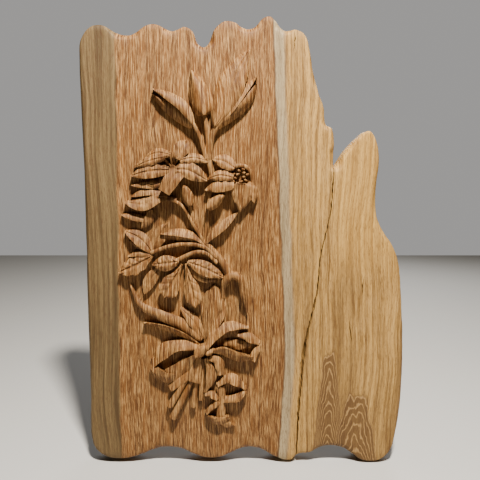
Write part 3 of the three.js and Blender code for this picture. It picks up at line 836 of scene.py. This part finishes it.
def flower(name, petals, throat, radii):
    parts = [shape(name, made, CARVED) for made in petals]
    body = combine(parts[0], parts[1:], "UNION")
    return combine(body, [egg(throat, radii, THROAT_BOTTOM, THROAT_TOP)], "DIFFERENCE")


panel = shape("panel_carved", slab_body(), BOARD)
panel = combine(panel, [shape("sheet", brushed_sheet(), BOARD)], "INTERSECT")
cuts = [shape("crack", crack_wedge(LONG_CRACK, LONG_WIDTH, LONG_DEPTH), OLD_CRACK)]
for line in SHORT_CRACKS:
    cuts.append(shape("crack", crack_wedge(line, SHORT_WIDTH, SHORT_DEPTH), OLD_CRACK))
panel = combine(panel, cuts, "DIFFERENCE")
raised = [flower("left flower", left_petals(), LEFT_THROAT, [14, 9.5]),
          flower("right flower", right_petals(), RIGHT_THROAT, [14, 12])]
for forms in (top_buds, left_stamens, right_stamens, buds_and_long_leaves, branches, stalk,
              bow, cut_stalks):
    made = forms()
    raised += [shape("carving", one, CARVED) for one in made]
    print(forms.__name__.replace("_", " ") + ":", len(made), "forms")
panel = combine(panel, raised, "UNION")
print("the panel has", len(panel.data.polygons), "faces")

# %% [markdown]
# ## Shading helpers
#
# The wood is built from procedural textures that read the object's own
# coordinates, so the grain runs through the block as it does in real timber.
# What both woods need is put in node groups with named inputs and outputs.

# %% Node helpers
def node(tree, kind, values=None, **settings):
    """A new node; values are numbers or the sockets that feed its inputs."""
    made = tree.nodes.new(kind)
    for name, setting in settings.items():
        setattr(made, name, setting)
    for key, value in (values or {}).items():
        if isinstance(value, bpy.types.NodeSocket):
            tree.links.new(value, made.inputs[key])
        else:
            made.inputs[key].default_value = value
    return made


def maths(tree, operation, a, b=0.0, clamp=False):
    return node(tree, "ShaderNodeMath", {0: a, 1: b}, operation=operation,
                use_clamp=clamp).outputs[0]


def between(tree, value, low, high):
    """0 below low, 1 above high and smooth between them."""
    return node(tree, "ShaderNodeMapRange", {"Value": value, "From Min": low, "From Max": high},
                interpolation_type="SMOOTHSTEP").outputs["Result"]


def mixed(tree, factor, first, second):
    made = node(tree, "ShaderNodeMix", {0: factor}, data_type="RGBA")
    for socket, colour in ((made.inputs[6], first), (made.inputs[7], second)):
        if isinstance(colour, bpy.types.NodeSocket):
            tree.links.new(colour, socket)
        else:
            socket.default_value = colour
    return made.outputs[2]


def new_group(name, inputs, outputs):
    tree = bpy.data.node_groups.new(name, "ShaderNodeTree")
    for label, kind in inputs:
        tree.interface.new_socket(label, in_out="INPUT", socket_type=kind)
    for label, kind in outputs:
        tree.interface.new_socket(label, in_out="OUTPUT", socket_type=kind)
    return tree, tree.nodes.new("NodeGroupInput"), tree.nodes.new("NodeGroupOutput")


def srgb(red, green, blue):
    """A colour as a paint chart gives it, 0..255, turned to linear light."""
    def linear(c):
        c /= 255
        return c / 12.92 if c <= 0.04045 else ((c + 0.055) / 1.055) ** 2.4
    return (linear(red), linear(green), linear(blue), 1)


FLOAT, VECTOR = "NodeSocketFloat", "NodeSocketVector"
print("a mid brown in linear light:", [round(v, 3) for v in srgb(128, 84, 44)])

# %% [markdown]
# ### Grain
#
# Teak grain is long dark and pale fibres with short open pores.  Noise that is
# squeezed across the trunk and stretched along it looks like that.  The group
# gives four masks: broad streaks, fine streaks, pores, and the smoky stains that
# years of handling leave.

# %% Grain group
def grain_group():
    tree, given, out = new_group(
        "grain", [("Position", VECTOR), ("Sway", FLOAT)],
        [("Streak", FLOAT), ("Fine", FLOAT), ("Pores", FLOAT), ("Smoke", FLOAT)])
    slow = node(tree, "ShaderNodeMapping", {"Vector": given.outputs["Position"],
                                            "Scale": (9, 9, 7)})
    drift = node(tree, "ShaderNodeTexNoise", {"Vector": slow.outputs[0], "Scale": 1.0,
                                              "Detail": 1.0})
    shift = maths(tree, "MULTIPLY", maths(tree, "SUBTRACT", drift.outputs[0], 0.5),
                  given.outputs["Sway"])
    moved = node(tree, "ShaderNodeCombineXYZ", {"X": shift})
    place = node(tree, "ShaderNodeVectorMath", {0: given.outputs["Position"],
                                                1: moved.outputs[0]}, operation="ADD")
    for label, scale, detail in (("Streak", (260, 40, 5), 4.0), ("Fine", (980, 60, 34), 3.0),
                                 ("Pores", (1500, 200, 110), 2.0)):
        squeezed = node(tree, "ShaderNodeMapping", {"Vector": place.outputs[0], "Scale": scale})
        texture = node(tree, "ShaderNodeTexNoise", {"Vector": squeezed.outputs[0], "Scale": 1.0,
                                                    "Detail": detail, "Roughness": 0.7})
        spread = between(tree, texture.outputs[0], 0.32, 0.68)
        tree.links.new(spread, out.inputs[label])
    squeezed = node(tree, "ShaderNodeMapping", {"Vector": place.outputs[0], "Scale": (45, 20, 3)})
    smoke = node(tree, "ShaderNodeTexNoise", {"Vector": squeezed.outputs[0], "Scale": 1.0,
                                              "Detail": 5.0, "Roughness": 0.65})
    tree.links.new(between(tree, smoke.outputs[0], 0.5, 0.72), out.inputs["Smoke"])
    return tree


# %% [markdown]
# ### Heartwood, sapwood and the band between
#
# The board was sawn from the side of the trunk.  A narrow grey strip of sapwood
# runs down the left, then comes the orange heartwood that holds the carving,
# then a grey-blue band and the pale sapwood up to the bark side.  The limits
# lean a little, so each is a line in x that moves with z and with a slow noise.

# %% Zones group
LEFT_LIMIT = -0.1725        # metres, at mid-height
LEFT_LEAN = 0.015
RIGHT_LIMIT = 0.052
RIGHT_LEAN_UP = -0.045
RIGHT_LEAN_DOWN = 0.05
LEAN_CHANGE = -0.138        # the height at which the right limit turns back
BAND = 0.0145               # width of the grey-blue band


def zones_group():
    tree, given, out = new_group(
        "plank zones", [("Position", VECTOR)],
        [("Grey strip", FLOAT), ("Limit line", FLOAT), ("Band", FLOAT), ("Sapwood", FLOAT),
         ("Lobe", FLOAT)])
    axes = node(tree, "ShaderNodeSeparateXYZ", {0: given.outputs[0]})
    x, z = axes.outputs["X"], axes.outputs["Z"]
    stretched = node(tree, "ShaderNodeMapping", {"Vector": given.outputs[0],
                                                 "Scale": (6, 0, 16)})
    ripple = node(tree, "ShaderNodeTexNoise", {"Vector": stretched.outputs[0], "Scale": 1.0,
                                               "Detail": 4.0})
    wander = maths(tree, "MULTIPLY", maths(tree, "SUBTRACT", ripple.outputs[0], 0.5), 0.011)
    x = maths(tree, "ADD", x, wander)
    left = maths(tree, "SUBTRACT", x, maths(tree, "MULTIPLY", z, LEFT_LEAN))
    tree.links.new(maths(tree, "SUBTRACT", 1.0, between(tree, left, LEFT_LIMIT - 0.0015,
                                                      LEFT_LIMIT + 0.0015)),
                   out.inputs["Grey strip"])
    above = maths(tree, "ADD", maths(tree, "MULTIPLY", z, RIGHT_LEAN_UP), RIGHT_LIMIT)
    below = maths(tree, "ADD", maths(tree, "MULTIPLY", maths(tree, "SUBTRACT", z, LEAN_CHANGE),
                                     RIGHT_LEAN_DOWN),
                  RIGHT_LIMIT + LEAN_CHANGE * RIGHT_LEAN_UP)
    past = maths(tree, "SUBTRACT", x, maths(tree, "MINIMUM", above, below))
    enter = between(tree, past, -0.0008, 0.0008)
    leave = between(tree, past, BAND - 0.004, BAND + 0.002)
    line = maths(tree, "SUBTRACT", 1.0, between(tree, maths(tree, "ABSOLUTE", past), 0.0004,
                                              0.0018))
    tree.links.new(line, out.inputs["Limit line"])
    tree.links.new(maths(tree, "SUBTRACT", enter, leave, clamp=True), out.inputs["Band"])
    tree.links.new(leave, out.inputs["Sapwood"])
    lobe = maths(tree, "MULTIPLY", between(tree, x, 0.118, 0.135), between(tree, z, -0.06, 0.02))
    tree.links.new(lobe, out.inputs["Lobe"])
    return tree


# %% [markdown]
# ### Flame figure
#
# Low on the right the saw cut through curved growth rings, and they show as
# tall brown spires filled with paler arcs.  A spire is where z plus a square of
# the distance from its axis stays under the height of its tip, and the same
# sum drives the arcs inside it.

# %% Flame group
def flame_group():
    tree, given, out = new_group(
        "flame figure",
        [("Position", VECTOR), ("Axis", FLOAT), ("Tip", FLOAT), ("Spread", FLOAT)],
        [("Mask", FLOAT), ("Arcs", FLOAT)])
    axes = node(tree, "ShaderNodeSeparateXYZ", {0: given.outputs["Position"]})
    rough = node(tree, "ShaderNodeMapping", {"Vector": given.outputs["Position"],
                                             "Scale": (55, 0, 22)})
    uneven = node(tree, "ShaderNodeTexNoise", {"Vector": rough.outputs[0], "Scale": 1.0,
                                               "Detail": 3.0})
    jitter = maths(tree, "MULTIPLY", maths(tree, "SUBTRACT", uneven.outputs[0], 0.5), 0.085)
    aside = maths(tree, "SUBTRACT", axes.outputs["X"], given.outputs["Axis"])
    square = maths(tree, "MULTIPLY", maths(tree, "MULTIPLY", aside, aside),
                   given.outputs["Spread"])
    height = maths(tree, "ADD", maths(tree, "ADD", axes.outputs["Z"], square), jitter)
    depth = maths(tree, "SUBTRACT", given.outputs["Tip"], height)
    tree.links.new(between(tree, depth, -0.004, 0.004), out.inputs["Mask"])
    turns = maths(tree, "MULTIPLY", depth, 330.0)
    arcs = maths(tree, "ADD", maths(tree, "MULTIPLY", maths(tree, "SINE", turns), 0.5), 0.5)
    tree.links.new(between(tree, arcs, 0.72, 1.05), out.inputs["Arcs"])
    return tree


GRAIN = grain_group()
ZONES = zones_group()
FLAME = flame_group()
print("node groups:", [g.name for g in bpy.data.node_groups])

# %% [markdown]
# ### The board's wood
#
# Oiled teak is satin, not glossy, so the roughness stays above a half.  The
# colours of the zones are laid over each other, then the fine streaks and the
# pores are drawn over all of them, and the same fibres drive a slight bump.

# %% Board material
def start_material(name):
    material = bpy.data.materials.new(name)
    material.use_nodes = True
    tree = material.node_tree
    shader = tree.nodes["Principled BSDF"]
    shader.inputs["Specular IOR Level"].default_value = 0.2
    place = node(tree, "ShaderNodeTexCoord").outputs["Object"]
    return material, tree, shader, place


def grouped(tree, group, values):
    made = tree.nodes.new("ShaderNodeGroup")
    made.node_tree = group
    for key, value in values.items():
        if isinstance(value, bpy.types.NodeSocket):
            tree.links.new(value, made.inputs[key])
        else:
            made.inputs[key].default_value = value
    return made.outputs


FLAMES = [(0.122, -0.132, 0.34e3), (0.160, -0.192, 0.11e3)]   # axis, tip, spread in 1/m


def board_material():
    material, tree, shader, place = start_material("brushed teak board")
    grain = grouped(tree, GRAIN, {"Position": place, "Sway": 0.02})
    zones = grouped(tree, ZONES, {"Position": place})
    streak, fine, pores = grain["Streak"], grain["Fine"], grain["Pores"]
    heart = mixed(tree, streak, srgb(72, 42, 17), srgb(120, 78, 36))
    pale_fibres = maths(tree, "MULTIPLY", between(tree, fine, 0.36, 1.0), 0.72)
    heart = mixed(tree, pale_fibres, heart, srgb(196, 152, 96))
    grey = mixed(tree, streak, srgb(74, 57, 34), srgb(118, 96, 62))
    sap = mixed(tree, streak, srgb(104, 73, 34), srgb(182, 142, 78))
    sap = mixed(tree, maths(tree, "MULTIPLY", pale_fibres, 0.5), sap, srgb(196, 160, 104))
    lobe = mixed(tree, streak, srgb(142, 104, 50), srgb(192, 151, 82))
    blue = mixed(tree, streak, srgb(126, 108, 80), srgb(164, 144, 110))
    stain = maths(tree, "MULTIPLY", grain["Smoke"], 0.6)
    heart = mixed(tree, stain, heart, srgb(72, 42, 18))
    grey = mixed(tree, stain, grey, srgb(70, 56, 38))
    sap = mixed(tree, stain, sap, srgb(100, 74, 42))
    lobe = mixed(tree, stain, lobe, srgb(128, 94, 50))
    colour = mixed(tree, zones["Grey strip"], heart, grey)
    colour = mixed(tree, zones["Sapwood"], colour, sap)
    colour = mixed(tree, zones["Lobe"], colour, lobe)
    for axis, tip, spread in FLAMES:
        flame = grouped(tree, FLAME, {"Position": place, "Axis": axis, "Tip": tip,
                                      "Spread": spread})
        brown = mixed(tree, flame["Arcs"], srgb(92, 66, 38), srgb(162, 128, 82))
        on = maths(tree, "MULTIPLY", flame["Mask"], 0.85)
        colour = mixed(tree, on, colour, brown)
    colour = mixed(tree, zones["Band"], colour, blue)
    colour = mixed(tree, maths(tree, "MULTIPLY", zones["Limit line"], 0.6), colour,
                   srgb(64, 40, 26))
    dark = maths(tree, "MULTIPLY", between(tree, pores, 0.55, 1.0), 0.5)
    colour = mixed(tree, dark, colour, srgb(70, 40, 22))
    tree.links.new(colour, shader.inputs["Base Color"])
    rough = maths(tree, "ADD", maths(tree, "MULTIPLY", fine, 0.16), 0.52)
    tree.links.new(rough, shader.inputs["Roughness"])
    height = maths(tree, "ADD", fine, maths(tree, "MULTIPLY", pores, -0.5))
    bump = node(tree, "ShaderNodeBump", {"Strength": 0.35, "Distance": 0.0006,
                                         "Height": height})
    tree.links.new(bump.outputs[0], shader.inputs["Normal"])
    return material

# %% [markdown]
# ### The carving's wood
#
# The carved forms are cut from the same heartwood but scraped smooth, so they
# are more golden and have weaker streaks.  The height in front of the slab mixes a
# near-black painted shade for the low places and undercuts with a pale colour for
# the high places, which is partly the paler sanded wood and partly painted highlight.

# %% Carved material
FULL_HIGHLIGHT_LIFT = 0.012         # metres in front of the slab where the pale sanded colour and painted highlight are full


def carved_material():
    material, tree, shader, place = start_material("carved teak")
    grain = grouped(tree, GRAIN, {"Position": place, "Sway": 0.03})
    streak, fine = grain["Streak"], grain["Fine"]
    y = node(tree, "ShaderNodeSeparateXYZ", {0: place}).outputs["Y"]
    raised_by = maths(tree, "SUBTRACT", maths(tree, "MULTIPLY", y, -1.0), THICKNESS * MM)
    # Painted light: the lift in front of the slab drives a painted shade in the low places and undercuts,
    # and on the high places a pale colour that is partly sanded wood and partly painted highlight.
    lift_sanding_and_painted_light = between(tree, raised_by, -0.001, FULL_HIGHLIGHT_LIFT)
    # Painted shade: near-black brown for the low places and undercuts.
    low = mixed(tree, streak, srgb(52, 28, 9), srgb(66, 38, 13))
    # Pale gold for the high places: partly sanded wood, partly painted highlight.
    high = mixed(tree, streak, srgb(200, 146, 78), srgb(226, 174, 102))
    colour = mixed(tree, lift_sanding_and_painted_light, low, high)
    colour = mixed(tree, maths(tree, "MULTIPLY", between(tree, fine, 0.6, 1.0), 0.14), colour,
                   srgb(226, 180, 126))
    tree.links.new(colour, shader.inputs["Base Color"])
    rough = maths(tree, "SUBTRACT", 0.66, maths(tree, "MULTIPLY", lift_sanding_and_painted_light, 0.1))
    tree.links.new(rough, shader.inputs["Roughness"])
    bump = node(tree, "ShaderNodeBump", {"Strength": 0.25, "Distance": 0.0005, "Height": fine})
    tree.links.new(bump.outputs[0], shader.inputs["Normal"])
    return material


def crack_material():
    """Near-black wood on the walls inside the drying cracks."""
    material, tree, shader, place = start_material("old crack")
    shader.inputs["Roughness"].default_value = 0.9
    grain = grouped(tree, GRAIN, {"Position": place, "Sway": 0.01})
    tree.links.new(mixed(tree, grain["Fine"], srgb(16, 10, 6), srgb(38, 24, 14)),
                   shader.inputs["Base Color"])
    return material


panel.data.materials.clear()
for material in (board_material(), carved_material(), crack_material()):
    panel.data.materials.append(material)
print("materials:", [material.name for material in panel.data.materials])

# %% [markdown]
# ## Smooth faces, crisp edges
#
# Faces are shaded smooth, and only edges with a clear angle stay crisp, as on
# wood that was cut with a sharp gouge and then lightly scraped.

# %% Shading of the mesh
CRISP_ANGLE = 38            # degrees
panel.data.shade_smooth()
panel.data.set_sharp_from_angle(angle=math.radians(CRISP_ANGLE))
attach(panel, "root")
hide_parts("carved_panel")
triangles = sum(len(p.vertices) - 2 for p in panel.data.polygons)
print("triangles:", triangles)

# %% [markdown]
# ## Floor and light
#
# The panel needs nothing around it but a pale floor just below its foot.  One
# soft lamp stands high in front, so that every raised edge throws its shadow
# straight down.  A weak sky fills the hollows; where the sky itself is seen it
# is shown paler, like the paper behind a studio table.  A second, broad lamp
# stands behind, so that the plain back isn't black when it is looked at.

# %% Floor
FLOOR_GAP = 0.002
FLOOR_SIZE = 4.0
floor_level = LOW[2] - FLOOR_GAP
half = FLOOR_SIZE / 2
floor = new_object("floor", [(-half, -half, floor_level), (half, -half, floor_level),
                             (half, half, floor_level), (-half, half, floor_level)],
                   [(0, 1, 2, 3)])
floor_material = bpy.data.materials.new("pale floor")
floor_material.use_nodes = True
floor_material.node_tree.nodes["Principled BSDF"].inputs["Base Color"].default_value = (
    0.5, 0.49, 0.47, 1)
floor_material.node_tree.nodes["Principled BSDF"].inputs["Roughness"].default_value = 0.85
floor.data.materials.append(floor_material)
print("the floor lies at", round(floor_level, 3), "m")

# %% [markdown]
# Light makes or breaks a relief.  The key lamp is small and high, so shadows
# are long and fairly crisp; it stands a little to the right and quite near, so
# the panel grows darker towards its lower left.

# %% Light
LAMP_HEIGHT_ANGLE = 60      # degrees above the panel's middle
LAMP_DISTANCE = 1.3
LAMP_SIZE = 0.12
LAMP_POWER = 68
BACKDROP = 0.42             # brightness of the sky where it is seen directly
SKY = (0.86, 0.84, 0.82, 1)
SKY_STRENGTH = 0.035

lamp_data = bpy.data.lights.new("key lamp", "AREA")
lamp_data.shape = "DISK"
lamp_data.size = LAMP_SIZE
lamp_data.energy = LAMP_POWER
lamp_data.color = (1.0, 0.94, 0.84)
lamp = bpy.data.objects.new("key lamp", lamp_data)
rise = math.radians(LAMP_HEIGHT_ANGLE)
lamp.location = (0.12, -LAMP_DISTANCE * math.cos(rise), LAMP_DISTANCE * math.sin(rise))
lamp.rotation_euler = (-lamp.location).to_track_quat("-Z", "Y").to_euler()
bpy.context.scene.collection.objects.link(lamp)

BACK_LAMP_POWER = 16
back_data = bpy.data.lights.new("back lamp", "AREA")
back_data.shape = "DISK"
back_data.size = 1.2
back_data.energy = BACK_LAMP_POWER
back_lamp = bpy.data.objects.new("back lamp", back_data)
back_lamp.location = (0.5, 1.5, 0.9)
back_lamp.rotation_euler = (-back_lamp.location).to_track_quat("-Z", "Y").to_euler()
bpy.context.scene.collection.objects.link(back_lamp)

world = bpy.data.worlds.new("pale sky")
world.use_nodes = True
background = world.node_tree.nodes["Background"]
background.inputs["Color"].default_value = SKY
background.inputs["Strength"].default_value = SKY_STRENGTH
backdrop = node(world.node_tree, "ShaderNodeBackground", {"Color": SKY, "Strength": BACKDROP})
seen = node(world.node_tree, "ShaderNodeLightPath").outputs["Is Camera Ray"]
either = node(world.node_tree, "ShaderNodeMixShader", {0: seen, 1: background.outputs[0],
                                                       2: backdrop.outputs[0]})
world.node_tree.links.new(either.outputs[0], world.node_tree.nodes["World Output"].inputs[0])
bpy.context.scene.world = world
